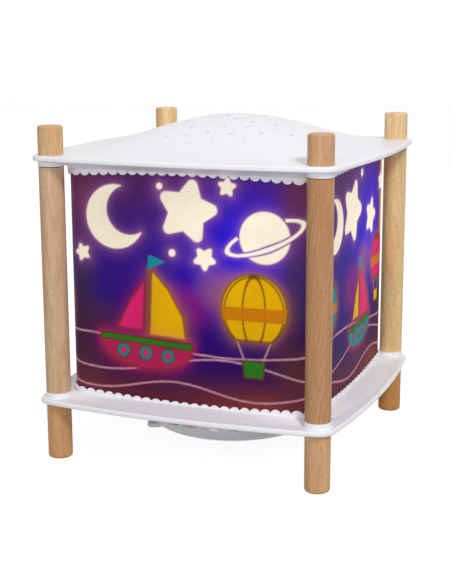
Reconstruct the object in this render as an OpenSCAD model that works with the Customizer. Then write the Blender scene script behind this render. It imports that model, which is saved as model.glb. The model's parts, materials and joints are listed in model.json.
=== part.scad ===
// Rotating picture lantern: four wooden posts carry a bowed square base and a vented lid.
// A picture film stands between them, and warm air from the bulb turns a drum inside it.
// Millimetres. Z is up, the origin is on the floor under the middle of the lantern,
// and the front is towards -Y.

/* [Posts] */
// Distance between the axes of neighbouring posts
post_pitch = 155; // [140:1:180]
// Diameter of the wooden feet, posts and knobs
post_d = 14; // [12:0.5:16]
// Height of a foot, from the floor to the base plate
foot_h = 33; // [28:1:50]
// Length of post that shows between the two collars
post_h = 128.6; // [110:1:170]
// Height of the wooden knob on top of the lid
knob_h = 16; // [13:0.5:24]
// Rounding of a foot's lower edge
foot_round = 1.8; // [0.5:0.1:3]
// Rounding of a knob's top edge
knob_round = 1.2; // [0.5:0.1:3]
// Diameter of the spigot at each end of a post
spigot_d = 10.4; // [9:0.1:10.8]
// Length of each spigot
spigot_l = 2.2; // [1.5:0.1:2.6]
// Diameter of the steel stud that joins a foot to its post
stud_d = 5; // [4:0.5:6]
// How far the stud goes into the foot and into the post
stud_grip = 16; // [10:1:20]

/* [Base and lid plates] */
// Thickness of the base plate and of the lid's rim
plate_t = 3; // [2.5:0.1:4]
// Radius of a plate's corner round its post
corner_r = 10; // [9.5:0.5:13]
// How far the middle of a plate's side bows out past its corners
side_bow = 5.2; // [3:0.1:8]
// Height of the collars that take the post ends
collar_h = 3.2; // [2.8:0.1:5]
// How much wider a collar is than its post, on the radius
collar_lip = 0.25; // [0.1:0.05:1]
// Width of the flat rim outside the slope, at mid side
rim_w = 3.7; // [2.5:0.1:6]
// Rounding of the slope's corners
slope_r = 14; // [12:0.5:18]
// Rise of the slope on the base plate
base_slope_h = 2.2; // [1.5:0.1:3]
// Drop of the slope under the lid
lid_slope_h = 4.4; // [3:0.1:5]

/* [Scalloped trim] */
// Height of the base trim at its corners, above the plate
base_trim_h = 5.8; // [5.2:0.1:8]
// Depth of the lid trim at its corners, below the plate
lid_trim_h = 8.2; // [7.6:0.1:10]
// How much shorter the trim is at mid side than at its corners
trim_arch = 2; // [0:0.1:2.2]
// Wall of the trim
trim_t = 1.2; // [1:0.1:1.6]
// Width of one scallop
scallop_w = 6; // [4:0.5:9]
// Depth of one scallop
scallop_depth = 1.5; // [0.8:0.1:1.6]

/* [Picture film] */
// Distance from the line of the post axes in to the film's side
film_inset = 4.5; // [3.5:0.1:8]
// Radius of the film's corners
film_r = 12; // [9:0.5:18]
// How far the film bows out at mid side
film_bow = 1; // [0.2:0.1:3]
// Thickness of the film
film_t = 0.5; // [0.3:0.1:0.8]
// Gap between the film and the trims and ribs that guide it
film_gap = 0.35; // [0.3:0.05:0.6]
// Height of the rib inside the film
rib_h = 4; // [2:0.5:5]

/* [Dome] */
// Rise of the dome above the lid's rim
dome_h = 19; // [12:0.5:28]
// Radius where the dome has run out flat
dome_r = 96; // [86:1:104]
// Wall of the dome
dome_wall = 2; // [1.5:0.1:3]
// Radius of the hollow under the dome
hollow_r = 66; // [60:1:68]
// Number of warm air outlets
vent_count = 72; // [40:1:90]
// Diameter of the larger outlets
vent_big_d = 2.6; // [2:0.1:3.2]
// Diameter of the smaller outlets
vent_small_d = 1.7; // [1.2:0.1:2]
// Spacing of the outlets along their spiral
vent_step = 6.6; // [6:0.1:7]

/* [Vented cup] */
// Radius of the cup under the base
cup_r = 56; // [52:1:60]
// Depth of the cup
cup_depth = 25; // [22:0.5:27]
// Rounding of the cup's lower edge
cup_round = 16; // [12:0.5:18]
// Wall of the cup
cup_wall = 2; // [1.6:0.1:2.6]
// Width of the cup's screw flange
flange_w = 8; // [7:0.5:10]
// Thickness of the flange
flange_t = 2; // [1.5:0.1:3]
// Number of air inlet slots round the whole cup
slot_count = 28; // [20:1:32]
// Width of a slot
slot_w = 9.2; // [6:0.1:9.6]
// Height of a slot
slot_h = 9; // [6:0.5:10]
// Width of the ledge round the opening through the base plate, inside the cup
air_ledge = 10; // [9:0.5:14]
// Width of the finger tab at the cup's lower edge
tab_w = 8.6; // [6:0.2:12]
// Thickness of the finger tab
tab_t = 2.2; // [1.6:0.1:3]

/* [Rear panel] */
// Width of the box that carries the inlet and the switch
panel_w = 48; // [44:1:56]
// How far the panel's face stands out past the cup
panel_out = 5; // [3.5:0.5:10]
// Height of the panel box
panel_h = 19; // [17.5:0.5:21]
// Sideways place of the power inlet
jack_x = -12; // [-13:0.5:-11]
// Diameter of the inlet's threaded barrel
jack_d = 8; // [7:0.5:8]
// Bore of the inlet, for a low voltage plug
jack_bore_d = 5.5; // [5:0.1:5.6]
// Sideways place of the rocker switch
switch_x = 10; // [9:0.5:10.5]
// Length of the rocker
rocker_l = 12; // [10:0.5:13]
// Height of the rocker
rocker_h = 7; // [6:0.5:8]
// Angle that the rocker turns from off to on
rocker_throw = 18; // [10:1:20]

/* [Bulb and holder] */
// Width of the steel strap that carries the bulb holder
strap_w = 18; // [16:1:24]
// Thickness of the strap
strap_t = 1.5; // [1:0.1:2]
// Radius of the bulb holder
socket_r = 14; // [12:0.5:15]
// Height of the bulb holder
socket_h = 28; // [24:1:34]
// Radius of the bulb's screw cap
cap_r = 7; // [6.8:0.1:8]
// Largest radius of the bulb
bulb_r = 17; // [14:0.5:18]
// Length of the glass above the holder
bulb_h = 46; // [36:1:50]
// Radius of the heat shield
shield_r = 38; // [30:1:42]
// Height of the heat shield's rim
shield_h = 4; // [2:0.5:6]

/* [Drum and pivot] */
// Outer radius of the turning drum
drum_r = 62; // [50:1:65]
// Height of the drum
drum_h = 112; // [90:1:114]
// Thickness of the drum's film
drum_t = 0.4; // [0.3:0.1:0.6]
// Height of the drum's lower edge above the base plate
drum_lift = 10; // [8:0.5:14]
// Number of fan blades
blade_count = 12; // [8:1:16]
// Tilt of the fan blades
blade_tilt = 35; // [20:1:40]
// Thickness of a fan blade
blade_t = 0.8; // [0.5:0.1:1.2]
// Radius of the fan's hub
hub_r = 8; // [7:0.5:10]
// Diameter of the arch wire
wire_d = 2.4; // [1.8:0.1:2.8]
// Half the distance between the legs of the arch
arch_r = 24; // [21:0.5:28]
// Diameter of the needle
needle_d = 1.8; // [1.4:0.1:2.2]
// Diameter of the pivot cup
pivot_d = 5; // [4.6:0.1:6]
// Running clearance of the needle point
pivot_play = 0.05; // [0.03:0.01:0.1]

/* [Hidden] */
$fn = 48;

// Clearances
fit = 0.05;          // turned metal in its hole
ease = 0.15;         // loose fits of fixed pieces
lid_gap = 0.3;       // the lid's collars stand this far above the post shoulders
over = 0.1;          // overlap of joined shapes and of cuts

// Levels
post_r = post_d / 2;
post_at = post_pitch / 2;
tray_z = foot_h;
tray_top = tray_z + plate_t;
post_z0 = tray_top + collar_h;
collar_z = post_z0 + post_h;
lid_z = collar_z + collar_h;
lid_top = lid_z + plate_t;
plate_mid = post_at + corner_r + side_bow;

// Film, trim and slope outlines
film_half = post_at - film_inset;
film_c = film_half - film_r;
film_mid = film_half + film_bow;
film_z0 = tray_top + over;
film_top_gap = 1.5;
film_z1 = lid_z - film_top_gap;
trim_in = film_gap;
trim_out = film_gap + trim_t;
slope_c = film_c + film_inset;
slope_mid = plate_mid - rim_w;
rib_out = -film_t - film_gap;
rib_in = rib_out - trim_t;

// Cup
cup_z = tray_z - cup_depth;
slot_lift = 9.5;
slot_z = cup_z + slot_lift;
cup_screw_r = cup_r + flange_w / 2;
cup_screw_d = 3;
screw_head_h = 1.8;
air_hole_r = cup_r - air_ledge;
tab_angle = 223;
tab_in = 5;
tab_r = cup_r - tab_in;
tab_z = cup_z + 1.8;
tab_root = cup_r - cup_round + 4;
slots_clear = 0.85;  // no slot where the direction's cosine with the back passes this
panel_y = cup_r + panel_out;
panel_z = tray_z - panel_h;
panel_wall = 1.8;
panel_mid_z = tray_z - panel_h / 2;

// Power inlet
jack_out = 4;
jack_box = 11;
jack_box_l = 11;
jack_pin_r = 1;
jack_pin_in = 3;
jack_nut_h = 2.2;
jack_nut_r = jack_d * 0.78;

// Switch
rocker_dip = 1.1;
rocker_rise = 2.2;
rocker_back = 3;
rocker_room = 0.5;
rocker_pin_r = 1;
rocker_pin_l = 0.7;
switch_wall = 1;
bezel_lip = 1.4;
bezel_t = 1.2;
pocket_l = rocker_l + 2 * rocker_room + 0.6;
pocket_h = rocker_h + 2 * rocker_room;
switch_depth = 11;
rocker_well = rocker_back + 2.2;

// Bulb column
strap_z = tray_top;
strap_top = strap_z + strap_t;
strap_screw_r = tab_r;
strap_screw_d = 2.5;
strap_l = 2 * strap_screw_r + 9;
shield_t = 0.8;
socket_z1 = strap_top + socket_h;
socket_foot_h = 9;
socket_lip_h = 3;
socket_lip = 0.5;
socket_waist = 1.5;
socket_floor_t = 6;
socket_floor = strap_top + socket_floor_t;
cap_tip_r = 2.4;
cap_tip_h = 1.6;
cap_cone_h = 2.4;
cap_thread = 0.5;
thread_pitch = 2.8;
thread_w = 1.2;
cap_z = socket_floor + cap_tip_h + cap_cone_h;
cap_wall = 1.05;
neck_r = cap_r - cap_wall;
cap_floor = cap_z + 1;
neck_grip = 3;
bulb_z0 = socket_z1 - neck_grip;
bulb_z1 = socket_z1 + bulb_h;
bulb_wall = 1;
bulb_mid_z = bulb_z1 - bulb_r;
neck_l = 8;
cone_z = bulb_z0 + 6;
stem_r = 3.4;
leg_x = 2.5;
leg_r = 0.35;
leg_dip = 5;
coil_r = 0.8;
coil_past = 2;

// Arch, needle, drum
bulb_room = 24;      // from the top of the bulb to the top of the arch
arch_top = bulb_z1 + bulb_room;
arch_z = arch_top - arch_r;
ferrule_r = 2.6;
ferrule_z0 = arch_top - ferrule_r;
ferrule_h = 7.6;
ferrule_z1 = ferrule_z0 + ferrule_h;
seat_floor = 0.4;
needle_seat = arch_top + wire_d / 2 + seat_floor;
needle_l = 14;       // from the arch wire's middle to the needle's point
needle_tip = arch_top + needle_l;
tip_r = 0.2;
point_l = 2.6;
cup_mouth = 0.9;
pivot_below = 3.4;
pivot_above = 2.4;
pivot_z0 = needle_tip - pivot_below;
pivot_z1 = needle_tip + pivot_above;
hub_z0 = pivot_z0 - seat_floor;
hub_h = 8.4;
fan_z = hub_z0 + hub_h / 2;
drum_z0 = tray_top + drum_lift;
drum_z1 = drum_z0 + drum_h;
drum_in = drum_r - drum_t;
hoop_out = drum_in - fit;
hoop_wall = 1.2;
hoop_in = hoop_out - hoop_wall;
hoop_h = 4;
hoop_lift = 0.5;
rim_h = 10;
blade_tip = 8.4;
blade_sink = 1.5;
blade_into = 0.4;

// Wood and metal small parts
stud_r = stud_d / 2;
spigot_r = spigot_d / 2;
collar_r = post_r + collar_lip;
collar_bore = spigot_r + ease;
knob_screw_r = 2;
knob_screw_head = 3.8;
knob_screw_l = 12;
sink_h = 1.9;

// Colours
white = [0.94, 0.94, 0.95];
beech = [0.85, 0.66, 0.44];
steel = [0.62, 0.63, 0.65];
brass = [0.80, 0.62, 0.30];
violet = [0.22, 0.10, 0.55];
plum = [0.45, 0.14, 0.42];

// Points of a square with bowed sides and round corners, one side and one corner at a time.
// c is the centre of a corner's arc, r its radius and mid the half width at mid side.
side_steps = 12;
corner_steps = 5;
function bow_radius(c, r, mid) =
    (r * r - c * c - (c - mid) * (c - mid)) / (2 * (c - mid) + 2 * r);
function bow_angle(c, r, mid) = atan2(c, c - mid + bow_radius(c, r, mid));
function side_point(c, r, mid, a) =
    let (big = bow_radius(c, r, mid)) [big * sin(a), mid - big + big * cos(a)];
function corner_point(c, r, a) = [c + r * sin(a), c + r * cos(a)];
function quarter(c, r, mid) =
    let (t = bow_angle(c, r, mid))
    concat(
        [for (i = [0 : side_steps]) side_point(c, r, mid, -t + 2 * t * i / side_steps)],
        [for (i = [1 : corner_steps - 1]) corner_point(c, r, t + (90 - 2 * t) * i / corner_steps)]);
function turn(p, k) = k == 0 ? p : turn([p[1], -p[0]], k - 1);
function outline(c, r, mid) = [for (k = [0 : 3], p = quarter(c, r, mid)) turn(p, k)];

module prism(c, r, mid, z0, z1) {
    translate([0, 0, z0])
        linear_extrude(z1 - z0) polygon(outline(c, r, mid));
}

// A prism that follows the film's outer face at a distance
module film_prism(away, z0, z1) {
    prism(film_c, film_r + away, film_mid + away, z0, z1);
}

module film_ring(outer, inner, z0, z1) {
    difference() {
        film_prism(outer, z0, z1);
        film_prism(inner, z0 - over, z1 + over);
    }
}

module plate(z) {
    prism(post_at, corner_r, plate_mid, z, z + plate_t);
}

// Slope between the plate's flat rim and the trim; rise is negative under the lid
module slope(z, rise) {
    thin = 0.05;
    hull() {
        prism(slope_c, slope_r, slope_mid, z - (rise > 0 ? thin : 0), z + (rise > 0 ? 0 : thin));
        film_prism(trim_out, z + rise - thin / 2, z + rise + thin / 2);
    }
}

module at_posts() {
    for (x = [-1, 1], y = [-1, 1])
        translate([x * post_at, y * post_at, 0]) children();
}

// Height of the trim at a share of the way from mid side (0) to the corner (1)
function trim_line(length, share) = length - trim_arch * (1 - share * share);
// Edge of one scallop, u from 0 to 1 across it: a round lobe between sharp valleys
function lobe(u) = scallop_depth * (sqrt(max(0, 1 - 0.96 * pow(2 * u - 1, 2))) - 1);

// Flat pattern of the scallops along one side of the trim, and round one of its corners
lobe_steps = 5;
module side_pattern(foot, length) {
    r = film_r + trim_out;
    mid = film_mid + trim_out;
    t = bow_angle(film_c, r, mid);
    end = side_point(film_c, r, mid, t)[0] + over;
    n = round(2 * end / scallop_w);
    edge = [for (i = [0 : n - 1], j = [0 : lobe_steps])
        let (x = -end + 2 * end * (i + j / lobe_steps) / n)
        [x, trim_line(length, x / end) + lobe(j / lobe_steps)]];
    polygon(concat([[end, foot], [-end, foot]], edge));
}

module corner_pattern(foot, length) {
    r = film_r + trim_out;
    t = bow_angle(film_c, r, film_mid + trim_out);
    m = round(r * (90 - 2 * t) * PI / 180 / scallop_w);
    edge = [for (i = [0 : m - 1], j = [0 : lobe_steps])
        [r * sin((45 - t) * (2 * (i + j / lobe_steps) / m - 1)), length + lobe(j / lobe_steps)]];
    end = r * sin(45 - t);
    polygon(concat([[end, foot], [-end, foot]], edge));
}

// The scalloped patterns all round the trim, pointing up from z (way 1) or down (way -1)
module scallops(z, way, foot, length) {
    near = film_half - 2;
    far = film_mid + trim_out + 1;
    for (k = [0 : 3]) rotate([0, 0, 90 * k]) translate([0, 0, z]) {
        translate([0, far, 0]) rotate([90, 0, 0])
            linear_extrude(far - near) scale([1, way]) side_pattern(foot, length);
        rotate([0, 0, 45]) translate([0, film_c * sqrt(2) + film_r + trim_out + 1, 0])
            rotate([90, 0, 0]) linear_extrude(film_r * 0.6)
                scale([1, way]) corner_pattern(foot, length);
    }
}

module base_tray() color(white) difference() {
    union() {
        plate(tray_z);
        difference() {
            slope(tray_top, base_slope_h);
            film_prism(trim_in, tray_top, tray_top + 2 * base_slope_h);
        }
        intersection() {
            film_ring(trim_out, trim_in, tray_top - over, tray_top + base_trim_h + 1);
            scallops(tray_top, 1, -over, base_trim_h);
        }
        film_ring(rib_out, rib_in, tray_top - over, tray_top + rib_h);
        at_posts() translate([0, 0, tray_top - over]) cylinder(h = collar_h + over, r = collar_r);
    }
    translate([0, 0, tray_z - over]) cylinder(h = plate_t + 2 * over, r = air_hole_r, $fn = 96);
    at_posts() {
        translate([0, 0, tray_z - over]) cylinder(h = plate_t + 1, r = stud_r + ease);
        translate([0, 0, post_z0 - spigot_l - ease]) cylinder(h = spigot_l + 1, r = collar_bore);
    }
    cup_screw_places() translate([0, 0, tray_z - over])
        cylinder(h = plate_t + 2 * over, r = cup_screw_d / 2 + fit);
    strap_screw_places() translate([0, 0, tray_z - over])
        cylinder(h = plate_t + 2 * over, r = strap_screw_d / 2 + fit);
}

module cup_screw_places() {
    for (a = [30, 150, 270]) rotate([0, 0, a]) translate([cup_screw_r, 0, 0]) children();
}

module strap_screw_places() {
    for (x = [-1, 1]) translate([x * strap_screw_r, 0, 0]) children();
}

// A round bar whose lower edge is rounded
module rounded_bar(h, r, edge) {
    rotate_extrude($fn = 64) {
        square([r - edge, h]);
        translate([0, edge]) square([r, h - edge]);
        translate([r - edge, edge]) intersection() {
            circle(edge, $fn = 32);
            translate([0, -edge]) square(edge);
        }
    }
}

module foot(x, y) color(beech) translate([x * post_at, y * post_at, 0]) difference() {
    rounded_bar(foot_h, post_r, foot_round);
    translate([0, 0, foot_h - stud_grip - 1]) cylinder(h = stud_grip + 2, r = stud_r + fit);
}

module post(x, y) color(beech) translate([x * post_at, y * post_at, 0]) difference() {
    union() {
        translate([0, 0, post_z0]) cylinder(h = post_h - lid_gap, r = post_r, $fn = 64);
        translate([0, 0, post_z0 - spigot_l])
            cylinder(h = post_h - lid_gap + 2 * spigot_l, r = spigot_r);
    }
    translate([0, 0, post_z0 - spigot_l - 1]) cylinder(h = stud_grip + 2, r = stud_r + fit);
}

module knob(x, y) color(beech) translate([x * post_at, y * post_at, 0]) difference() {
    translate([0, 0, lid_top + knob_h]) mirror([0, 0, 1])
        rounded_bar(knob_h, post_r, knob_round);
    translate([0, 0, lid_top - 1]) cylinder(h = knob_screw_l + 0.5, r = knob_screw_r + fit);
}

module base_studs() color(steel) at_posts()
    translate([0, 0, foot_h - stud_grip])
        cylinder(h = post_z0 - spigot_l - foot_h + 2 * stud_grip, r = stud_r);

module knob_screws() color(steel) at_posts() {
    translate([0, 0, lid_z + ease]) cylinder(h = sink_h, r1 = knob_screw_head, r2 = knob_screw_r);
    translate([0, 0, lid_z + ease]) cylinder(h = knob_screw_l + 1.5, r = knob_screw_r);
}

module scene_film() color(violet) film_ring(0, -film_t, film_z0, film_z1);

// Solid shape of the vented cup, shrunk by its wall for the inside
module cup_body(shrink) {
    r = cup_r - shrink;
    edge = cup_round - shrink;
    translate([0, 0, cup_z + shrink]) rotate_extrude($fn = 128) {
        square([r - edge, cup_depth]);
        translate([0, edge]) square([r, cup_depth - edge]);
        translate([r - edge, edge]) intersection() {
            circle(edge, $fn = 96);
            translate([0, -edge]) square(edge);
        }
    }
}

module base_cup() color(white) difference() {
    union() {
        intersection() {
            cup_body(0);
            translate([0, 0, cup_z]) cylinder(h = cup_depth, r = cup_r + 1);
        }
        translate([0, 0, tray_z - flange_t]) cylinder(h = flange_t, r = cup_r + flange_w, $fn = 128);
        translate([-panel_w / 2, 0, panel_z]) cube([panel_w, panel_y, panel_h]);
        rotate([0, 0, tab_angle]) finger_tab();
    }
    intersection() {
        cup_body(cup_wall);
        translate([0, 0, cup_z]) cylinder(h = cup_depth + over, r = cup_r);
    }
    translate([0, 0, tray_z - flange_t - over])
        cylinder(h = flange_t + 1, r = cup_r - cup_wall, $fn = 128);
    translate([-panel_w / 2 + panel_wall, 0, panel_z + panel_wall])
        cube([panel_w - 2 * panel_wall, panel_y - panel_wall, panel_h]);
    for (i = [0 : slot_count - 1]) {
        a = 270 + (i + 0.5) * 360 / slot_count;
        if (cos(a - 90) < slots_clear)
            rotate([0, 0, a]) translate([cup_r - 3 * cup_wall, -slot_w / 2, slot_z])
                cube([4 * cup_wall, slot_w, slot_h]);
    }
    cup_screw_places() translate([0, 0, tray_z - flange_t - over])
        cylinder(h = flange_t + 1, r = cup_screw_d / 2 + ease);
    translate([jack_x, panel_y + over, panel_mid_z]) rotate([90, 0, 0])
        cylinder(h = panel_wall + 2 * over, r = jack_d / 2 + ease);
    translate([switch_x - pocket_l / 2 - switch_wall - ease, panel_y - panel_wall - over,
               panel_mid_z - pocket_h / 2 - switch_wall - ease])
        cube([pocket_l + 2 * switch_wall + 2 * ease, panel_wall + 2 * over,
              pocket_h + 2 * switch_wall + 2 * ease]);
}

module finger_tab() {
    translate([tab_r, 0, tab_z]) cylinder(h = tab_t, r = tab_w / 2);
    translate([tab_root, -tab_w / 2, tab_z]) cube([tab_r - tab_root, tab_w, tab_t]);
}

module cup_screws() color(steel) cup_screw_places() {
    translate([0, 0, tray_z - flange_t - screw_head_h]) {
        cylinder(h = screw_head_h, r = cup_screw_d);
        cylinder(h = screw_head_h + flange_t + plate_t - ease, r = cup_screw_d / 2);
    }
}

module power_jack() color([0.12, 0.12, 0.13])
    translate([jack_x, panel_y, panel_mid_z]) rotate([90, 0, 0]) difference() {
        union() {
            translate([0, 0, -jack_out]) cylinder(h = jack_out + panel_wall + 1, r = jack_d / 2);
            translate([-jack_box / 2, -jack_box / 2, panel_wall])
                cube([jack_box, jack_box, jack_box_l]);
        }
        difference() {
            translate([0, 0, -jack_out - over]) cylinder(h = jack_box_l, r = jack_bore_d / 2);
            translate([0, 0, -jack_pin_in]) cylinder(h = jack_box_l, r = jack_pin_r);
        }
    }

module jack_nut() color(steel) translate([jack_x, panel_y, panel_mid_z]) rotate([90, 0, 0])
    difference() {
        translate([0, 0, -jack_nut_h]) cylinder(h = jack_nut_h, r = jack_nut_r, $fn = 6);
        translate([0, 0, -jack_nut_h - over])
            cylinder(h = jack_nut_h + 2 * over, r = jack_d / 2 + fit);
    }

// The rocker's pivot is at the panel's face
module at_rocker() {
    translate([switch_x, panel_y, panel_mid_z]) children();
}

module switch_body() color([0.12, 0.12, 0.13]) at_rocker() difference() {
    union() {
        translate([-pocket_l / 2 - switch_wall, -switch_depth, -pocket_h / 2 - switch_wall])
            cube([pocket_l + 2 * switch_wall, switch_depth + bezel_t, pocket_h + 2 * switch_wall]);
        translate([-pocket_l / 2 - switch_wall - bezel_lip, 0,
                   -pocket_h / 2 - switch_wall - bezel_lip])
            cube([pocket_l + 2 * (switch_wall + bezel_lip), bezel_t,
                  pocket_h + 2 * (switch_wall + bezel_lip)]);
    }
    translate([-pocket_l / 2, -rocker_well, -pocket_h / 2])
        cube([pocket_l, rocker_well + bezel_t + over, pocket_h]);
    translate([0, 0, -pocket_h / 2 - rocker_pin_l])
        cylinder(h = pocket_h + 2 * rocker_pin_l, r = rocker_pin_r + fit);
}

module switch_rocker() color([0.75, 0.10, 0.10]) at_rocker()
    rotate([0, 0, -rocker_throw / 2]) {
        translate([0, 0, -rocker_h / 2]) linear_extrude(rocker_h)
            polygon([[-rocker_l / 2, -1], [-rocker_l / 5, -rocker_back],
                     [rocker_l / 5, -rocker_back], [rocker_l / 2, -1],
                     [rocker_l / 2, rocker_rise], [0, rocker_dip], [-rocker_l / 2, rocker_rise]]);
        pin_h = pocket_h + 2 * rocker_pin_l - 2 * ease;
        translate([0, 0, -pin_h / 2]) cylinder(h = pin_h, r = rocker_pin_r);
    }

// Leads: a tube with lead_sides sides, swept along points on a smooth curve
lead_d = 2;
lead_sides = 8;
lead_steps = 4;
function curve(p0, p1, p2, p3, t) =
    0.5 * ((2 * p1) + (p2 - p0) * t + (2 * p0 - 5 * p1 + 4 * p2 - p3) * t * t
           + (3 * p1 - p0 - 3 * p2 + p3) * t * t * t);
function smooth(p) = concat(
    [for (i = [0 : len(p) - 2], s = [0 : lead_steps - 1])
        curve(p[max(i - 1, 0)], p[i], p[i + 1], p[min(i + 2, len(p) - 1)], s / lead_steps)],
    [p[len(p) - 1]]);
function unit(v) = v / norm(v);
function heading(p, i) = unit(p[min(i + 1, len(p) - 1)] - p[max(i - 1, 0)]);
function across(t) = unit(cross(t, [0.29, 0.17, 0.94]));
function ring(p, i) =
    let (t = heading(p, i), u = across(t), v = cross(t, u))
    [for (k = [0 : lead_sides - 1])
        p[i] + lead_d / 2 * (cos(360 * k / lead_sides) * u + sin(360 * k / lead_sides) * v)];
module lead(route) {
    p = smooth(route);
    n = lead_sides;
    last = len(p) - 1;
    points = [for (i = [0 : last]) each ring(p, i)];
    sides = [for (i = [0 : last - 1], k = [0 : n - 1], half = [0, 1])
        let (a = i * n + k, b = i * n + (k + 1) % n)
        half == 0 ? [a, b, b + n] : [a, b + n, a + n]];
    ends = [for (k = [1 : n - 2], half = [0, 1])
        half == 0 ? [0, k + 1, k] : [last * n, last * n + k, last * n + k + 1]];
    polyhedron(points, concat(sides, ends));
}
jack_back = panel_y - panel_wall - jack_box_l;
switch_back = panel_y - switch_depth;
lead_x = 4;
lead_y = 3;
supply_route = [[jack_x + 3, jack_back, panel_mid_z], [jack_x + 3, jack_back - 5, panel_mid_z],
    [jack_x + 7, jack_back - 10, panel_mid_z - 2], [jack_x + 13, jack_back - 11, panel_mid_z - 2],
    [switch_x - 4, switch_back - 5, panel_mid_z], [switch_x - 4, switch_back, panel_mid_z]];
switched_route = [[switch_x + 4, switch_back, panel_mid_z], [switch_x + 4, switch_back - 5, panel_mid_z],
    [switch_x + 4, 34, 17], [12, 24, 13], [5, 14, 13], [lead_x, 6, 18], [lead_x, lead_y, 27],
    [lead_x, lead_y, strap_top]];
return_route = [[jack_x - 3, jack_back, panel_mid_z], [jack_x - 3, jack_back - 5, panel_mid_z],
    [-15, 34, 17], [-12, 24, 13], [-5, 14, 13], [-lead_x, 6, 18], [-lead_x, lead_y, 27],
    [-lead_x, lead_y, strap_top]];
module supply_lead() color("firebrick") lead(supply_route);
module switched_lead() color("firebrick") lead(switched_route);
module return_lead() color([0.1, 0.1, 0.1]) lead(return_route);

module socket_strap() color(steel) difference() {
    translate([-strap_l / 2, -strap_w / 2, strap_z]) cube([strap_l, strap_w, strap_t]);
    strap_screw_places() translate([0, 0, strap_z - over])
        cylinder(h = strap_t + 2 * over, r = strap_screw_d / 2 + ease);
    for (x = [-lead_x, lead_x]) translate([x, lead_y, strap_z - over])
        cylinder(h = strap_t + 2 * over, r = lead_d / 2 + 2 * ease);
}

module strap_screws() color(steel) strap_screw_places() {
    translate([0, 0, strap_top]) cylinder(h = screw_head_h, r = strap_screw_d);
    translate([0, 0, tray_z - 1])
        cylinder(h = plate_t + strap_t + screw_head_h, r = strap_screw_d / 2);
}

module heat_shield() color([0.82, 0.83, 0.85]) translate([0, 0, strap_top]) difference() {
    union() {
        cylinder(h = shield_t, r = shield_r, $fn = 96);
        difference() {
            cylinder(h = shield_h, r = shield_r, $fn = 96);
            translate([0, 0, -over])
                cylinder(h = shield_h + 2 * over, r = shield_r - shield_t, $fn = 96);
        }
    }
    translate([0, 0, -over]) cylinder(h = shield_t + 1, r = socket_r + ease);
    for (x = [-1, 1]) translate([x * arch_r, 0, -over])
        cylinder(h = shield_t + 1, r = wire_d / 2 + ease);
}

module lamp_socket() color([0.93, 0.91, 0.86]) difference() {
    translate([0, 0, strap_top]) {
        cylinder(h = socket_h, r = socket_r - socket_waist);
        cylinder(h = socket_foot_h, r = socket_r);
        translate([0, 0, socket_h - socket_lip_h])
            cylinder(h = socket_lip_h, r = socket_r - socket_lip);
    }
    translate([0, 0, socket_floor]) cylinder(h = socket_h, r = cap_r + ease);
}

module bulb_cap() color(brass) difference() {
    union() {
        translate([0, 0, cap_z]) cylinder(h = socket_z1 - cap_z, r = cap_r - cap_thread);
        for (z = [cap_z + thread_pitch / 2 : thread_pitch : socket_z1 - thread_pitch])
            translate([0, 0, z]) cylinder(h = thread_w, r = cap_r);
        translate([0, 0, cap_z - cap_cone_h])
            cylinder(h = cap_cone_h + over, r1 = cap_tip_r + over, r2 = cap_r - cap_thread - over);
        translate([0, 0, socket_floor + over]) cylinder(h = cap_tip_h, r = cap_tip_r);
    }
    translate([0, 0, cap_floor]) cylinder(h = socket_h, r = neck_r + ease);
}

// The bulb's outline: a neck, a cone and a round crown, shrunk by its wall for the inside
module bulb_profile(shrink) {
    neck = neck_r - shrink;
    big = bulb_r - shrink;
    translate([0, bulb_z0 - (shrink > 0 ? 1 : 0)]) square([neck, neck_l]);
    polygon([[0, bulb_z0 + 2], [neck, cone_z], [big * 0.86, bulb_mid_z - big * 0.51],
             [0, bulb_mid_z]]);
    intersection() {
        translate([0, bulb_mid_z]) circle(big, $fn = 96);
        translate([0, bulb_z0]) square([bulb_r + 1, bulb_z1 - bulb_z0 + 1]);
    }
}

module bulb_glass() color([0.98, 0.93, 0.80, 0.6]) rotate_extrude($fn = 96) difference() {
    bulb_profile(0);
    bulb_profile(bulb_wall);
}

module bulb_filament() color([0.9, 0.6, 0.2]) {
    for (x = [-1, 1]) translate([x * leg_x, 0, bulb_z0 - leg_dip])
        cylinder(h = bulb_mid_z - bulb_z0 + leg_dip, r = leg_r, $fn = 16);
    translate([0, 0, cap_floor + fit]) cylinder(h = bulb_z0 + stem_r / 2 - cap_floor, r = stem_r);
    translate([-leg_x - coil_past, 0, bulb_mid_z]) rotate([0, 90, 0])
        cylinder(h = 2 * (leg_x + coil_past), r = coil_r, $fn = 16);
}

module needle_arch() color(steel) {
    for (x = [-1, 1]) translate([x * arch_r, 0, strap_top])
        cylinder(h = arch_z - strap_top, r = wire_d / 2, $fn = 24);
    translate([0, 0, arch_z]) rotate([90, 0, 0])
        rotate_extrude(angle = 180, $fn = 96) translate([arch_r, 0]) circle(wire_d / 2, $fn = 24);
}

module needle_ferrule() color(brass) difference() {
    translate([0, 0, ferrule_z0]) cylinder(h = ferrule_z1 - ferrule_z0, r = ferrule_r);
    translate([-2 * ferrule_r, 0, arch_top - fit]) rotate([0, 90, 0])
        cylinder(h = 4 * ferrule_r, r = wire_d / 2 + ease + fit);
    translate([0, 0, needle_seat]) cylinder(h = ferrule_h, r = needle_d / 2 + fit);
}

module pivot_needle() color(steel) {
    translate([0, 0, needle_seat + fit])
        cylinder(h = needle_tip - point_l - needle_seat - fit, r = needle_d / 2, $fn = 32);
    translate([0, 0, needle_tip - point_l])
        cylinder(h = point_l, r1 = needle_d / 2, r2 = tip_r, $fn = 32);
}

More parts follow.
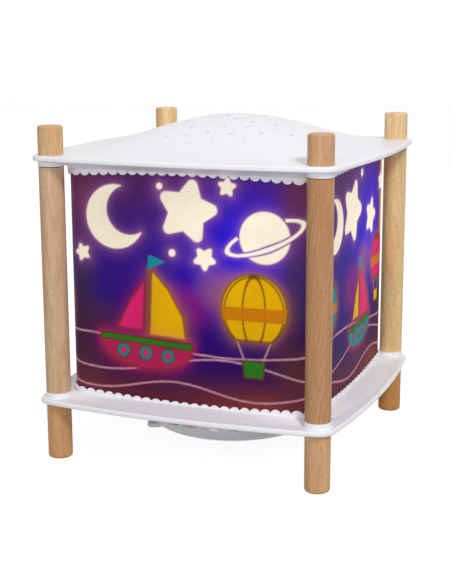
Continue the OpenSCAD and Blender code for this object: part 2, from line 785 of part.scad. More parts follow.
module pivot_cup() color(brass) difference() {
    translate([0, 0, pivot_z0]) cylinder(h = pivot_z1 - pivot_z0, r = pivot_d / 2);
    translate([0, 0, pivot_z0 - over])
        cylinder(h = needle_tip - pivot_z0 + over + pivot_play,
                 r1 = needle_d / 2 + cup_mouth, r2 = tip_r + pivot_play);
}

module rotor_fan() color([0.82, 0.83, 0.85]) difference() {
    union() {
        translate([0, 0, hub_z0]) cylinder(h = hub_h, r = hub_r);
        translate([0, 0, fan_z - rim_h / 2]) difference() {
            cylinder(h = rim_h, r = hoop_out, $fn = 128);
            translate([0, 0, -over]) cylinder(h = rim_h + 2 * over, r = hoop_in, $fn = 128);
        }
        for (i = [0 : blade_count - 1])
            rotate([0, 0, i * 360 / blade_count]) translate([0, 0, fan_z])
                rotate([blade_tilt, 0, 0]) blade();
    }
    translate([0, 0, hub_z0 - over]) cylinder(h = pivot_z1 - hub_z0 + over + fit,
                                              r = pivot_d / 2 + fit);
}

module blade() {
    root = hub_r * PI / blade_count * 0.8;
    start = hub_r - blade_sink;
    end = hoop_in + blade_into;
    translate([0, 0, -blade_t / 2]) linear_extrude(blade_t)
        polygon([[start, -root], [end, -blade_tip], [end, blade_tip], [start, root]]);
}

module tube(r, t, z, h) {
    translate([0, 0, z]) difference() {
        cylinder(h = h, r = r, $fn = 128);
        translate([0, 0, -over]) cylinder(h = h + 2 * over, r = r - t, $fn = 128);
    }
}

module drum_film() color(plum) tube(drum_r, drum_t, drum_z0, drum_h);
module drum_hoop() color([0.82, 0.83, 0.85])
    tube(hoop_out, hoop_wall, drum_z0 + hoop_lift, hoop_h);

// Height of the dome's skin above the lid's rim, at a distance from the axis
function bell(r) = dome_h * (1 + cos(180 * min(r, dome_r) / dome_r)) / 2;
bell_step = 4;
module bell_solid(z, reach, foot) {
    steps = ceil(reach / bell_step);
    translate([0, 0, z]) rotate_extrude($fn = 128)
        polygon(concat([[0, foot]], [[reach, foot]],
                       [for (i = [steps : -1 : 0]) [reach * i / steps, bell(reach * i / steps)]]));
}

module vents() {
    for (i = [1 : vent_count]) {
        r = vent_step * sqrt(i);
        rotate([0, 0, 137.5 * i]) translate([r, 0, lid_top])
            cylinder(h = dome_h + 2, r = (i % 2 == 0 ? vent_big_d : vent_small_d) / 2, $fn = 16);
    }
}

module top_cover() color(white) difference() {
    union() {
        plate(lid_z);
        intersection() {
            bell_solid(lid_top, dome_r - 0.5, -over);
            prism(post_at, corner_r, plate_mid, lid_z, lid_top + dome_h + 1);
        }
        slope(lid_z, -lid_slope_h);
        intersection() {
            film_ring(trim_out, trim_in, lid_z - lid_trim_h - 1, lid_z);
            scallops(lid_z, -1, -over, lid_trim_h);
        }
        at_posts() translate([0, 0, collar_z]) cylinder(h = collar_h + over, r = collar_r);
    }
    film_prism(trim_in, lid_z - lid_trim_h - 2, lid_z);
    bell_solid(lid_top - dome_wall, hollow_r, -plate_t);
    at_posts() {
        translate([0, 0, collar_z - 1]) cylinder(h = collar_h + 1, r = collar_bore);
        translate([0, 0, collar_z - 1]) cylinder(h = plate_t + collar_h + 2, r = knob_screw_r + ease);
        translate([0, 0, lid_z])
            cylinder(h = sink_h + 0.3, r1 = knob_screw_head + 0.3, r2 = knob_screw_r + ease);
    }
    vents();
}

module foot_front_left() foot(-1, -1);
module foot_front_right() foot(1, -1);
module foot_back_left() foot(-1, 1);
module foot_back_right() foot(1, 1);
module post_front_left() post(-1, -1);
module post_front_right() post(1, -1);
module post_back_left() post(-1, 1);
module post_back_right() post(1, 1);
module knob_front_left() knob(-1, -1);
module knob_front_right() knob(1, -1);
module knob_back_left() knob(-1, 1);
module knob_back_right() knob(1, 1);

base_tray();
foot_front_left();
foot_front_right();
foot_back_left();
foot_back_right();
post_front_left();
post_front_right();
post_back_left();
post_back_right();
base_studs();
scene_film();
base_cup();
cup_screws();
power_jack();
jack_nut();
switch_body();
switch_rocker();
supply_lead();
switched_lead();
return_lead();
socket_strap();
strap_screws();
heat_shield();
lamp_socket();
bulb_cap();
bulb_glass();
bulb_filament();
needle_arch();
needle_ferrule();
pivot_needle();
rotor_fan();
pivot_cup();
drum_film();
drum_hoop();
top_cover();
knob_front_left();
knob_front_right();
knob_back_left();
knob_back_right();
knob_screws();
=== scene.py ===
"""Dresses the picture lantern: lid, base plate, printed film and drum, wood, lights and camera."""

import json
import math

import bmesh
import bpy
import numpy as np
from mathutils import Matrix, Vector
from mathutils.geometry import delaunay_2d_cdt


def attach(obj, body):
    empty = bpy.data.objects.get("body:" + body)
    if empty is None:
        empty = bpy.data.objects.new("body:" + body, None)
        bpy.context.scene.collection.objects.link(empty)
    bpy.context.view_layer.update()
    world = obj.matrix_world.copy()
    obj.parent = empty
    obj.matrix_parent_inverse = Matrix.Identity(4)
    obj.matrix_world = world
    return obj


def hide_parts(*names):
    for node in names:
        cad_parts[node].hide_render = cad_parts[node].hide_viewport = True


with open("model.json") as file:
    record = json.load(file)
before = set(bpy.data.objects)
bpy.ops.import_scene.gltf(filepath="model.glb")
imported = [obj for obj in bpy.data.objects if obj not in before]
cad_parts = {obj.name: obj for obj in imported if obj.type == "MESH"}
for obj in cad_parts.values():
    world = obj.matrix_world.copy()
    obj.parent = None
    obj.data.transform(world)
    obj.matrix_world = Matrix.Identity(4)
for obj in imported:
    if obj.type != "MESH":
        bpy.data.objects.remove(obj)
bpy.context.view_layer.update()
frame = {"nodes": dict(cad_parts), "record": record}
MM = 0.001

# ------------------------------------------------------------ sizes in millimetres, as in part.scad
# A bowed square is written (corner centre, corner radius, half width at mid side).
POST_AT = 77.5
TRAY_Z, TRAY_TOP = 33.0, 36.0
LID_Z, LID_TOP = 171.0, 174.0
COLLAR_R, COLLAR_H = 7.25, 3.2
AIR_HOLE_R = 46.0
PLATE = (POST_AT, 10.0, 92.7)
FILM_C, FILM_R, FILM_MID, FILM_T = 61.0, 12.0, 74.0, 0.5
FILM_Z0, FILM_Z1 = 36.1, 169.5
SLOPE = (65.5, 14.0, 89.0)  # outer border of the slope at the trim's root
TRIM_IN, TRIM_OUT = 0.35, 1.55  # the trim's faces, outside the film
BASE_TRIM, BASE_RISE = 5.8, 2.2  # height of the base trim at a corner, and of its slope
LID_TRIM, LID_RISE = 8.2, 4.4
RIB_IN, RIB_OUT = -2.05, -0.85  # the faces of the rib that holds the film from inside
RIB_Z0, RIB_TOP = 35.8, 40.0
DRUM_R, DRUM_T, DRUM_Z0, DRUM_Z1 = 62.0, 0.4, 46.0, 158.0

# ------------------------------------------------------------ sizes of the scene's own detail
SIDE_LOBES, CORNER_LOBES = 21, 3  # scallops on one side and round one corner
SCALLOP_DEPTH = 2.6  # the valleys between the scallops are cut to 0.8 of this
TRIM_ARCH = 2.0  # how much lower the trim is at a side's middle
VALLEY_CLEAR = 0.35  # least height of the trim above its slope
TOP_EDGE_R, LOW_EDGE_R = 1.2, 0.8  # rounding of the plates' rims
COLLAR_BORE = 5.4  # a little wider than in part.scad
DOME_H, DOME_SPAN = 19.0, 92.0
HOLLOW_SPAN, SHELL_T = 66.0, 2.0  # how far out the dome is hollow, and its wall
VENTS, VENT_SPREAD, GOLDEN_TURN = 72, 6.6, 137.5
STAR_VENT_R, ROUND_VENT_R = 2.0, 1.1
VENT_CLEAR = 2.7  # from a vent's centre to the nearest plain point of the lid's skin
LID_RINGS = 34
SHARP_PLASTIC, SHARP_SHEET = 32, 40  # degrees from which an edge shades sharp


# ------------------------------------------------------------ mesh helpers
def add_mesh(name, verts, faces, material, body, slot, replaced, sharp_from):
    """A mesh object in metres from points in millimetres, for one CAD node, riding on a body.

    Edges shade sharp from the angle sharp_from, in degrees.
    """
    me = bpy.data.meshes.new(name)
    me.from_pydata((np.asarray(verts, float) * MM).tolist(), [], [list(map(int, f)) for f in faces])
    me.validate()
    me.update()
    me.polygons.foreach_set("use_smooth", [True] * len(me.polygons))
    me.set_sharp_from_angle(angle=math.radians(sharp_from))
    ob = bpy.data.objects.new(name, me)
    bpy.context.scene.collection.objects.link(ob)
    ob.data.materials.append(material)
    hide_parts(*replaced)
    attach(ob, body)
    return ob


def side_turn(c, r, mid):
    """The radius of a bowed square's side, and half the angle that the side spans."""
    big = (r * r - c * c - (c - mid) ** 2) / (2 * (c - mid) + 2 * r)
    return big, math.atan2(c, c - mid + big)


def loop_points(c, r, mid, params):
    """Points and outward normals of a bowed square, anticlockwise from the front's left end.

    params are rows of (side 0 to 3, 1 on the corner that ends it, share of the way along).
    """
    big, t = side_turn(c, r, mid)
    side, corner, share = params.T
    a = -t + 2 * t * share
    b = t + (math.pi / 2 - 2 * t) * share
    x = np.where(corner > 0, c + r * np.sin(b), big * np.sin(a))
    y = np.where(corner > 0, -c - r * np.cos(b), -(mid - big + big * np.cos(a)))
    nx = np.where(corner > 0, np.sin(b), np.sin(a))
    ny = np.where(corner > 0, -np.cos(b), -np.cos(a))
    ca, sa = np.cos(side * math.pi / 2).round(), np.sin(side * math.pi / 2).round()
    return np.c_[x * ca - y * sa, x * sa + y * ca], np.c_[nx * ca - ny * sa, nx * sa + ny * ca]


def film_loop(away, params):
    """The film's outer face, moved outward by away."""
    return loop_points(FILM_C, FILM_R + away, FILM_MID + away, params)[0]


def even_params(on_side, on_corner):
    """Columns round a bowed square: on_side steps on each side and on_corner on each corner."""
    rows = []
    for side in range(4):
        rows += [(side, 0, i / on_side) for i in range(on_side)]
        rows += [(side, 1, i / on_corner) for i in range(on_corner)]
    return np.array(rows, float)


def swept_ring(rows):
    """Vertices and faces of a closed tube: equal rings of points in order round its section."""
    n, k = len(rows[0]), len(rows)
    verts = np.concatenate(rows)
    faces = [
        (i * n + j, i * n + (j + 1) % n, ((i + 1) % k) * n + (j + 1) % n, ((i + 1) % k) * n + j)
        for i in range(k)
        for j in range(n)
    ]
    return verts, faces


def level(points, z):
    return np.c_[points, np.broadcast_to(z, len(points))]


def joined(parts):
    verts, faces, base = [], [], 0
    for v, f in parts:
        verts.append(np.asarray(v, float))
        faces += [tuple(i + base for i in face) for face in f]
        base += len(v)
    return np.concatenate(verts), faces


def fix_normals(ob):
    bm = bmesh.new()
    bm.from_mesh(ob.data)
    bmesh.ops.recalc_face_normals(bm, faces=bm.faces)
    bm.to_mesh(ob.data)
    bm.free()
    ob.data.update()


# ------------------------------------------------------------ materials
def srgb(r, g, b):
    """A colour as it shows in a picture, 0 to 255, as linear light."""
    return tuple(
        ((v / 255 + 0.055) / 1.055) ** 2.4 if v > 10 else v / 255 / 12.92 for v in (r, g, b)
    )


def tinted(colour, factors):
    """A linear colour with its red, green and blue each times a factor, at most 1."""
    return tuple(min(1, c * k) for c, k in zip(colour, factors))


def grey(value):
    return (value, value, value)


class Nodes:
    """A small helper over a material's node tree."""

    def __init__(self, name):
        self.mat = bpy.data.materials.new(name)
        self.mat.use_nodes = True
        self.nt = self.mat.node_tree
        self.bsdf = next(n for n in self.nt.nodes if n.type == "BSDF_PRINCIPLED")
        self.out = next(n for n in self.nt.nodes if n.type == "OUTPUT_MATERIAL")

    def node(self, kind, **values):
        n = self.nt.nodes.new(kind)
        for k, v in values.items():
            setattr(n, k, v)
        return n

    def link(self, a, b):
        self.nt.links.new(a, b)

    def coords(self, scale=(1, 1, 1), move=(0, 0, 0)):
        """Object coordinates times scale. Objects sit at the origin, so these are metres."""
        return self.mapping(self.node("ShaderNodeTexCoord").outputs["Object"], scale, move)

    def mapping(self, vector, scale=(1, 1, 1), move=(0, 0, 0), turn=(0, 0, 0)):
        m = self.node("ShaderNodeMapping")
        m.inputs["Scale"].default_value = scale
        m.inputs["Location"].default_value = move
        m.inputs["Rotation"].default_value = turn
        self.link(vector, m.inputs["Vector"])
        return m.outputs["Vector"]

    def noise(self, vector, scale, detail, rough=0.5, output="Fac"):
        n = self.node("ShaderNodeTexNoise")
        n.inputs["Scale"].default_value = scale
        n.inputs["Detail"].default_value = detail
        n.inputs["Roughness"].default_value = rough
        self.link(vector, n.inputs["Vector"])
        return n.outputs[output]

    def vector_math(self, operation, a, b=None):
        n = self.node("ShaderNodeVectorMath", operation=operation)
        self.link(a, n.inputs[0])
        if isinstance(b, tuple):
            n.inputs[1].default_value = b
        elif b is not None:
            self.link(b, n.inputs[1])
        return n.outputs

    def ramp(self, fac, stops):
        r = self.node("ShaderNodeValToRGB")
        el = r.color_ramp.elements
        while len(el) < len(stops):
            el.new(0.5)
        for e, (at, colour) in zip(el, stops):
            e.position = at
            e.color = (*colour, 1)
        self.link(fac, r.inputs["Fac"])
        return r.outputs["Color"]

    def span(self, value, a, b, c, d):
        """value taken from a..b to c..d."""
        m = self.node("ShaderNodeMapRange")
        for k, v in zip(("From Min", "From Max", "To Min", "To Max"), (a, b, c, d)):
            m.inputs[k].default_value = v
        self.link(value, m.inputs["Value"])
        return m.outputs["Result"]

    def math(self, operation, a, b=None):
        m = self.node("ShaderNodeMath", operation=operation)
        for sock, v in zip(m.inputs, (a, b)):
            if isinstance(v, (int, float)):
                sock.default_value = v
            elif v is not None:
                self.link(v, sock)
        return m.outputs[0]

    def mix(self, fac, a, b, blend="MIX"):
        m = self.node("ShaderNodeMix", data_type="RGBA", blend_type=blend)
        for sock, v in ((m.inputs[0], fac), (m.inputs[6], a), (m.inputs[7], b)):
            if isinstance(v, (int, float)):
                sock.default_value = v
            elif isinstance(v, tuple):
                sock.default_value = (*v, 1)
            else:
                self.link(v, sock)
        return m.outputs[2]

    def bump(self, height, distance, strength):
        b = self.node("ShaderNodeBump")
        b.inputs["Distance"].default_value = distance
        b.inputs["Strength"].default_value = strength
        self.link(height, b.inputs["Height"])
        self.link(b.outputs["Normal"], self.bsdf.inputs["Normal"])

    def set(self, **values):
        for k, v in values.items():
            sock = self.bsdf.inputs[k.replace("_", " ")]
            if isinstance(v, bpy.types.NodeSocket):
                self.link(v, sock)
            elif isinstance(v, tuple):
                sock.default_value = (*v, 1)
            else:
                sock.default_value = v


def plastic(name, colour, rough, spread):
    """Moulded plastic: a faint mottle in the colour, an orange-peel surface and uneven shine."""
    m = Nodes(name)
    v = m.coords()
    cloud = m.noise(v, 45, 3)
    fine = m.noise(v, 260, 2)
    m.set(
        Base_Color=m.ramp(cloud, [(0.3, tinted(colour, grey(1 - spread))), (0.7, colour)]),
        Roughness=m.span(fine, 0.3, 0.7, rough - 0.04, rough + 0.06),
    )
    m.set(Specular_IOR_Level=0.5)
    m.bump(fine, 0.00001, 0.12)
    return m.mat


def growth_rings(m, local, rng, seed, figure):
    """How dark the late wood is at a point: rings round a leaning pith outside the piece."""
    ring_width, wander = 1.7, 8
    way = rng.uniform(0, 2 * math.pi)
    far = rng.uniform(9, 20)
    tilt = rng.uniform(0.05, 0.09) * (1.7 if figure > 0.5 else 1.0) * rng.choice((-1, 1))
    turn = (-tilt * math.sin(way), tilt * math.cos(way), 0)
    lean = m.mapping(local, (1, 1, 1), (far * math.cos(way), far * math.sin(way), 0), turn)
    sway_at = m.mapping(local, (0.10, 0.10, 0.022), (seed * 3.7, 0, 0))
    sway = m.noise(sway_at, 1.0, 2.5, output="Color")
    shift = m.vector_math("MULTIPLY", sway, (wander, wander, 0))[0]
    warped = m.vector_math("ADD", lean, shift)[0]
    radius = m.vector_math("LENGTH", m.mapping(warped, (1, 1, 0)))["Value"]
    count = m.math("MULTIPLY", radius, 1 / ring_width)
    year = m.node("ShaderNodeTexWhiteNoise", noise_dimensions="1D")
    m.link(m.math("FLOOR", count), year.inputs["W"])
    strength = m.span(year.outputs["Value"], 0.0, 1.0, 0.25, 1.0)
    stops = ((0.0, 0.35), (0.16, 0.0), (0.45, 0.10), (0.85, 1.0), (1.0, 0.35))
    late = m.ramp(m.math("FRACT", count), [(at, grey(v)) for at, v in stops])
    return m.math("MULTIPLY", m.math("MULTIPLY", late, strength), figure)


def ray_flecks(m, local, seed):
    """1 on the short brown flecks of the wood's rays, on some cells only, and 0 elsewhere."""
    fleck = m.node("ShaderNodeTexVoronoi", feature="F1")
    fleck.inputs["Scale"].default_value = 1.0
    m.link(m.mapping(local, (0.62, 0.62, 0.20), (seed * 2.3, 0, 0)), fleck.inputs["Vector"])
    spot = m.span(fleck.outputs["Distance"], 0.12, 0.24, 1.0, 0.0)
    picked = m.node("ShaderNodeSeparateColor")
    m.link(fleck.outputs["Color"], picked.inputs["Color"])
    return m.math("MULTIPLY", spot, m.math("GREATER_THAN", picked.outputs["Red"], 0.62))


def beech(name, place, seed, base, figure):
    """Beech for one turned piece at place (x, y). figure is the strength of its growth rings."""
    rng = np.random.default_rng(seed)
    m = Nodes(name)
    local = m.coords((1000, 1000, 1000), (-place[0], -place[1], 0))  # in mm from the piece's axis
    rings = growth_rings(m, local, rng, seed, figure)
    fibre = m.noise(m.mapping(local, (2.4, 2.4, 0.10)), 1.0, 4, 0.62)
    pore = m.noise(m.mapping(local, (3.4, 3.4, 0.55), (0, 0, seed * 4.3)), 1.0, 2, 0.6)
    broad = m.noise(m.mapping(local, (0.16, 0.16, 0.02), (0, seed * 5.1, 0)), 1.0, 2)
    ray = ray_flecks(m, local, seed)
    light = srgb(*base)
    pale = tinted(light, (1.10, 1.14, 1.18))
    warm = tinted(light, (0.92, 0.82, 0.72))
    col = m.ramp(broad, [(0.34, pale), (0.5, light), (0.68, warm)])
    col = m.mix(rings, col, tinted(light, (0.66, 0.52, 0.42)))
    col = m.mix(m.span(fibre, 0.42, 0.72, 0.0, 0.55), col, tinted(light, (0.72, 0.60, 0.52)))
    col = m.mix(m.span(fibre, 0.5, 0.25, 0.0, 0.4), col, pale)
    col = m.mix(m.span(pore, 0.54, 0.70, 0.0, 0.55), col, tinted(light, (0.62, 0.46, 0.36)))
    col = m.mix(m.math("MULTIPLY", ray, 0.6), col, tinted(light, (0.56, 0.36, 0.22)))
    m.set(Base_Color=col, Roughness=m.span(fibre, 0.3, 0.8, 0.44, 0.62))
    m.set(Specular_IOR_Level=0.35)
    m.bump(m.mix(0.5, fibre, ray), 0.00004, 0.4)
    return m.mat


def metal(name, colour, rough, streak=(1, 1, 0.05), scale=900):
    """Drawn or turned metal with fine marks along one way."""
    m = Nodes(name)
    mark = m.noise(m.coords(streak), scale, 4)
    m.set(
        Base_Color=m.ramp(mark, [(0.3, tinted(colour, grey(0.82))), (0.7, colour)]),
        Roughness=m.span(mark, 0.3, 0.7, rough - 0.06, rough + 0.1),
    )
    m.set(Metallic=1.0)
    m.bump(mark, 0.00002, 0.5)
    return m.mat


def glass():
    """Frosted warm bulb glass that glows, as the lit bulb's does."""
    m = Nodes("bulb glass")
    frost = m.noise(m.coords(), 500, 3)
    m.set(
        Base_Color=m.ramp(frost, [(0.3, srgb(250, 238, 206)), (0.7, srgb(255, 247, 226))]),
        Roughness=m.span(frost, 0.3, 0.7, 0.3, 0.42),
        Emission_Color=m.ramp(frost, [(0.3, srgb(255, 214, 140)), (0.7, srgb(255, 226, 168))]),
    )
    m.set(Emission_Strength=12.0)
    return m.mat


def hot_wire():
    m = Nodes("hot filament")
    coil = m.noise(m.coords((1, 0.1, 0.1)), 4000, 2)
    m.set(
        Base_Color=srgb(255, 214, 150),
        Emission_Color=m.ramp(coil, [(0.3, srgb(255, 170, 70)), (0.7, srgb(255, 230, 170))]),
    )
    m.set(Emission_Strength=6.0, Roughness=0.5)
    return m.mat


WHITE = plastic("white plastic", srgb(243, 243, 246), 0.36, 0.012)
FINISH = {  # by the record's material slots; the wooden pieces' own finishes follow below
    "white_plastic": WHITE,
    "steel": metal("steel", srgb(178, 180, 184), 0.32),
    "brass": metal("brass", srgb(214, 176, 104), 0.28),
    "aluminium": metal("aluminium", srgb(206, 208, 212), 0.34, (1, 1, 1), 300),
    "ceramic": plastic("ceramic", srgb(238, 232, 218), 0.2, 0.05),
    "black_plastic": plastic("black plastic", srgb(34, 34, 37), 0.4, 0.3),
    "red_plastic": plastic("red plastic", srgb(178, 34, 30), 0.3, 0.2),
    "red_wire": plastic("red wire", srgb(160, 36, 32), 0.38, 0.25),
    "black_wire": plastic("black wire", srgb(28, 28, 30), 0.42, 0.3),
    "bulb_glass": glass(),
    "filament": hot_wire(),
}

# ------------------------------------------------------------ the print: colours and shapes
CREAM = srgb(254, 240, 216)
YELLOW = srgb(226, 170, 6)
ORANGE = srgb(198, 116, 12)
PINK = srgb(222, 36, 112)
ROSE = srgb(178, 34, 84)
TEAL = srgb(24, 134, 142)
GREEN = srgb(44, 118, 34)
BROWN = srgb(92, 52, 24)
PALE = srgb(208, 150, 170)
LAVENDER = srgb(196, 150, 226)
MAUVE = srgb(168, 104, 168)
NO_SHAPE = 1e3  # the distance given to points that a shape doesn't reach


class Canvas:
    """Colours at points of a sheet that closes on itself, painted shape by shape.

    x runs along the sheet and z is height, both in millimetres. ground is the first colour.
    """

    def __init__(self, x, z, ground, wrap):
        self.x, self.z, self.wrap = x, z, wrap
        self.rgb = np.array(ground, float) * np.ones((len(x), 3))

    def away(self, x0):
        """How far each point is from x0, the short way round."""
        return (self.x - x0 + self.wrap / 2) % self.wrap - self.wrap / 2

    def lay(self, alpha, colour):
        a = np.clip(alpha, 0, 1)[:, None]
        self.rgb = self.rgb * (1 - a) + np.array(colour, float) * a


def smooth(v, a, b):
    t = np.clip((v - a) / (b - a), 0, 1)
    return t * t * (3 - 2 * t)


def polygon_distance(px, pz, points):
    """Signed distance to a polygon, negative inside."""
    p = np.array(points, float)
    best = np.full(len(px), 1e9)
    inside = np.zeros(len(px), bool)
    for (ax, az), (bx, bz) in zip(p, np.roll(p, -1, 0)):
        ex, ez = bx - ax, bz - az
        wx, wz = px - ax, pz - az
        t = np.clip((wx * ex + wz * ez) / max(ex * ex + ez * ez, 1e-9), 0, 1)
        best = np.minimum(best, np.hypot(wx - t * ex, wz - t * ez))
        inside ^= ((az > pz) != (bz > pz)) & (px < ex * (pz - az) / (ez if ez else 1e-9) + ax)
    return np.where(inside, -best, best)


def segment_distance(px, pz, start, end):
    (ax, az), (bx, bz) = start, end
    ex, ez = bx - ax, bz - az
    t = np.clip(((px - ax) * ex + (pz - az) * ez) / (ex * ex + ez * ez), 0, 1)
    return np.hypot(px - ax - t * ex, pz - az - t * ez)


def poly(points, rounding=0.0):
    return lambda x, z: polygon_distance(x, z, points) - rounding


def bar(start, end, half_width):
    return lambda x, z: segment_distance(x, z, start, end) - half_width


def circle(r, sx=1.0):
    return lambda x, z: np.hypot(x / sx, z) - r


def star_points(r, inner, turn):
    """Outline of a five-pointed star. inner is the share of r at its notches."""
    radii = [r * (1 if i % 2 == 0 else inner) for i in range(10)]
    turns = [turn + math.pi * i / 5 for i in range(10)]
    return [(s * math.sin(a), s * math.cos(a)) for s, a in zip(radii, turns)]


def star(r, rounding, turn):
    return poly(star_points(r - rounding, 0.52, turn), rounding)


def moon(r, bite, dx, dz):
    """A crescent: a disc less a smaller disc whose centre is (dx, dz) away."""
    far = math.hypot(dx, dz)
    way = math.atan2(dz, dx)
    a = math.acos((far * far + r * r - bite * bite) / (2 * far * r))
    b = math.acos((far * far + bite * bite - r * r) / (2 * far * bite))
    out_turns = np.linspace(way + a, way + 2 * math.pi - a, 44)
    in_turns = np.linspace(way - math.pi + b, way - math.pi - b, 36)[1:-1]
    outer = [(r * math.cos(t), r * math.sin(t)) for t in out_turns]
    inner = [(dx + bite * math.cos(t), dz + bite * math.sin(t)) for t in in_turns]
    return poly(outer + inner, 0.3)


def planet(r):
    """A disc with a tilted ring, the ring's near half in front of the disc."""
    tilt, flat, gap = 0.38, 3.6, 1.1
    ring_r, ring_w = 1.62 * r, 0.09 * r

    def distance(x, z):
        u = x * math.cos(tilt) + z * math.sin(tilt)
        v = -x * math.sin(tilt) + z * math.cos(tilt)
        stretch = 1 + (flat - 1) * np.clip(1 - np.abs(u) / ring_r, 0, 1)
        ring = np.abs(np.hypot(u, v * flat) - ring_r) / stretch - ring_w
        disc = np.hypot(x, z) - r
        behind = (v > 0) & (disc < 1.0)
        ring = np.where(behind, 9.0, ring)
        return np.minimum(np.maximum(disc, gap - ring), ring)

    return distance


def paint_shape(c, x0, z0, distance, colour, edge=0.45, halo=None, halo_r=2.5, line=None,
                line_w=0.6, reach=60, alpha=1.0):
    """Lays the shape whose signed distance about (x0, z0) is given, and returns the distances.

    edge is its softness, halo a glow round it and line an outline.
    """
    dx = c.away(x0)
    dz = c.z - z0
    near = (np.abs(dx) < reach) & (np.abs(dz) < reach)
    d = np.full(len(dx), NO_SHAPE)
    d[near] = distance(dx[near], dz[near])
    if halo is not None:
        c.lay(0.55 * np.exp(-np.clip(d, 0, None) / halo_r) * (d < 4 * halo_r), halo)
    c.lay(alpha * smooth(-d, -edge, edge), colour)
    if line is not None:
        c.lay(0.75 * smooth(line_w - np.abs(d + line_w * 0.3), -0.3, 0.35), line)
    return d


# ------------------------------------------------------------ the print: motifs
def boat(c, x, z, s, hull=ROSE, sail=YELLOW, jib=PINK, tilt=0.0):
    """A toy sailing boat, s times its usual size."""
    ca, sa = math.cos(tilt), math.sin(tilt)

    def turned(points):
        return [(s * (px * ca - pz * sa), s * (px * sa + pz * ca)) for px, pz in points]

    main_sail = [(2.5, 15), (2.5, 48), (11, 40), (20, 26), (22, 15)]
    fore_sail = [(-2.5, 17), (-2.5, 42), (-9, 32), (-16, 17)]
    turns = np.linspace(0, math.pi, 25)
    keel = [(26 * math.cos(t), 12 - 15.5 * math.sin(t) ** 0.72) for t in turns]
    rail = [(-26.5, 12.2), (26.5, 12.2), (25.6, 9.4), (-25.4, 9.4)]
    paint_shape(c, x, z, bar(*turned([(0, 4), (0, 50)]), 0.8 * s), BROWN)
    paint_shape(c, x, z, poly(turned(main_sail), 0.8 * s), sail, halo=ORANGE, line=BROWN)
    paint_shape(c, x, z, poly(turned(fore_sail), 0.8 * s), jib, halo=ROSE, line=BROWN)
    paint_shape(c, x, z, poly(turned(keel), 1.0 * s), hull, halo=PINK, halo_r=2.0, line=BROWN)
    paint_shape(c, x, z, poly(turned(rail), 0.4 * s), GREEN, line=BROWN)
    for px in (-13, 0, 13):
        ((qx, qz),) = turned([(px, 4.2)])
        paint_shape(c, x + qx, z + qz, circle(4.0 * s), TEAL, line=BROWN)
        paint_shape(c, x + qx, z + qz, circle(1.9 * s), PINK, line=BROWN, line_w=0.4)
    paint_shape(c, x, z, poly(turned([(0, 50), (0, 57), (9, 54.5)]), 0.3), TEAL)


def balloon(c, x, z, s, cloth=YELLOW, stripe=BROWN, car=GREEN):
    """A hot-air balloon with gores, a band and a basket, s times its usual size."""
    half = []
    for a in np.linspace(0, 2.5, 26):
        wide = 14.2 * math.sin(a) ** 0.95 * (1 - 0.16 * max(0, a - 1.7) ** 2)
        half.append((wide, 6 + 16 * math.cos(a * 0.97)))
    outline = [(s * px, s * pz) for px, pz in half] + [(-s * px, s * pz) for px, pz in half[::-1]]
    for sx in (-1, 1):
        rope = bar((sx * 7.6 * s, -7 * s), (sx * 4 * s, -16 * s), 0.35)
        paint_shape(c, x, z, rope, PALE)
    d = paint_shape(c, x, z, poly(outline, 0.8), cloth, halo=ORANGE, line=BROWN)
    dx, dz = c.away(x), c.z - z
    for k in (0.33, 0.86):
        gore = np.abs(np.hypot(dx / k, dz - 6 * s) - 15.6 * s) * k - 0.45
        c.lay(0.8 * smooth(-gore, -0.3, 0.3) * (d < 0), stripe)
    c.lay(0.9 * ((np.abs(c.z - z - 5 * s) < 3.2 * s) & (d < -0.2)), ORANGE)
    basket = [(-4.5 * s, -16 * s), (4.5 * s, -16 * s), (3.8 * s, -22.5 * s), (-3.8 * s, -22.5 * s)]
    paint_shape(c, x, z, poly(basket, 0.8), car, line=BROWN)


def house(c, x, z):
    wall = [(-13, 0), (13, 0), (13, 20), (-13, 20)]
    roof = [(-16, 20), (16, 20), (6, 33), (-8, 33)]
    door = [(-2.6, 0), (2.6, 0), (2.6, 8), (-2.6, 8)]
    paint_shape(c, x, z, poly(wall, 0.6), YELLOW, halo=ORANGE, halo_r=2.0, line=BROWN)
    paint_shape(c, x, z, poly(roof, 0.8), PINK, halo=ROSE, halo_r=2.0, line=BROWN)
    for px in (-6, 6):
        paint_shape(c, x + px, z + 11, circle(3.6), BROWN, line=BROWN)
        paint_shape(c, x + px, z + 11, circle(2.4), TEAL)
    paint_shape(c, x, z, poly(door, 0.4), GREEN, line=BROWN)


def wave(c, z, swing, length, phase):
    crest = z + swing * np.sin(2 * math.pi * c.x / length + phase)
    c.lay(0.85 * smooth(0.45 - np.abs(c.z - crest), -0.35, 0.25), PALE)


# ------------------------------------------------------------ the print: the two pictures
GROUND = (  # height, colour: maroon at the foot and violet above it
    (36, (98, 36, 40)),
    (48, (84, 30, 52)),
    (62, (50, 14, 66)),
    (82, (44, 10, 92)),
    (112, (54, 24, 116)),
    (140, (66, 32, 104)),
    (158, (84, 38, 92)),
    (170, (82, 36, 80)),
)
CORNER = (  # height, colour at the film's corners, which the bulb lights less
    (36, (108, 52, 60)),
    (58, (84, 40, 56)),
    (80, (56, 30, 60)),
    (104, (58, 42, 66)),
    (128, (80, 46, 76)),
    (150, (106, 50, 70)),
    (170, (90, 42, 70)),
)
GLOW_AT = 36  # where the bulb's glow is brightest, to the right of a side's middle
GLOWS = (  # strength, place past GLOW_AT, its spread, height, its spread, colour
    (0.75, -26, 48, 108, 40, (50, 15, 150)),
    (0.97, 0, 30, 130, 30, (34, 18, 212)),
    (0.55, -34, 44, 72, 15, (36, 5, 92)),
    (0.50, -96, 9, 147, 15, (124, 66, 88)),
    (0.60, 12, 34, 40, 9, (150, 68, 46)),
    (0.35, -96, 26, 56, 18, (100, 42, 62)),
)
